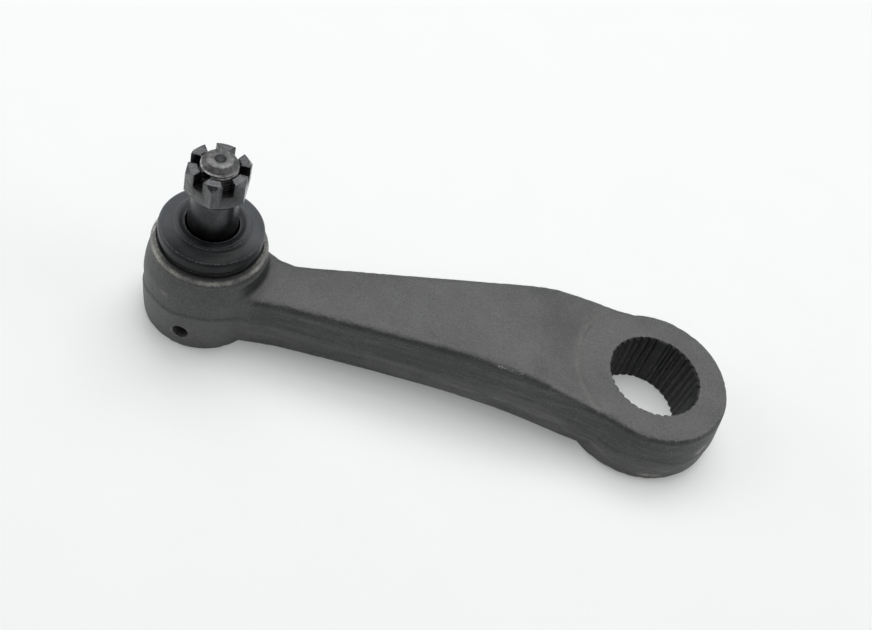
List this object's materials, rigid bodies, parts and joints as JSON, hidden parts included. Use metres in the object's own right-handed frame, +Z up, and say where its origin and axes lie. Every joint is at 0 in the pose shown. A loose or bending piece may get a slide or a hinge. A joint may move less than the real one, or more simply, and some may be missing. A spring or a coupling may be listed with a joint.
{
  "type": "pitman arm",
  "caption": "Forged steering arm with a tapered splined eye at one end and a ball joint with a dust boot, a tapered stud and a castle nut at the other.",
  "frame": {"origin": "middle of the arm's length and width, on the plane of the flat undersides of the ball housing and the splined eye", "axes": "+X from the ball joint's axis to the splined eye's axis; +Z up along the ball stud; +Y across the arm, towards the side with the straighter wall"},
  "size_m": [0.2105, 0.0588, 0.0729],
  "materials": {
    "forged_steel": "satin black coating over a blasted forging",
    "stud_steel": "turned, black phosphated and lightly oiled",
    "nut_steel": "black phosphated and lightly oiled",
    "bearing_resin": "moulded",
    "spring_steel": "plain",
    "cover_steel": "satin black coating",
    "boot_rubber": "moulded, slight sheen"
  },
  "bodies": {
    "arm": {"arm_forging": "forged_steel", "upper_bearing": "bearing_resin", "preload_spring": "spring_steel", "cover_plate": "cover_steel", "boot_ring": "spring_steel", "dust_boot": "boot_rubber"},
    "swivel": {"lower_bearing": "bearing_resin"},
    "stud": {"ball_stud": "stud_steel"},
    "nut": {"castle_nut": "nut_steel"}
  },
  "joints": [
    {"name": "stud_turn", "type": "hinge", "parent": "arm", "child": "swivel", "pos_m": [-0.0842, 0, 0.019], "axis": [0, 0, 1], "continuous": true},
    {"name": "stud_tilt", "type": "hinge", "parent": "swivel", "child": "stud", "pos_m": [-0.0842, 0, 0.019], "axis": [0, 1, 0], "range_deg": [-15, 15], "deforming": ["dust_boot"]},
    {"name": "nut_turn", "type": "hinge", "parent": "stud", "child": "nut", "pos_m": [-0.0842, 0, 0.0602], "axis": [0, 0, 1], "continuous": true}
  ]
}
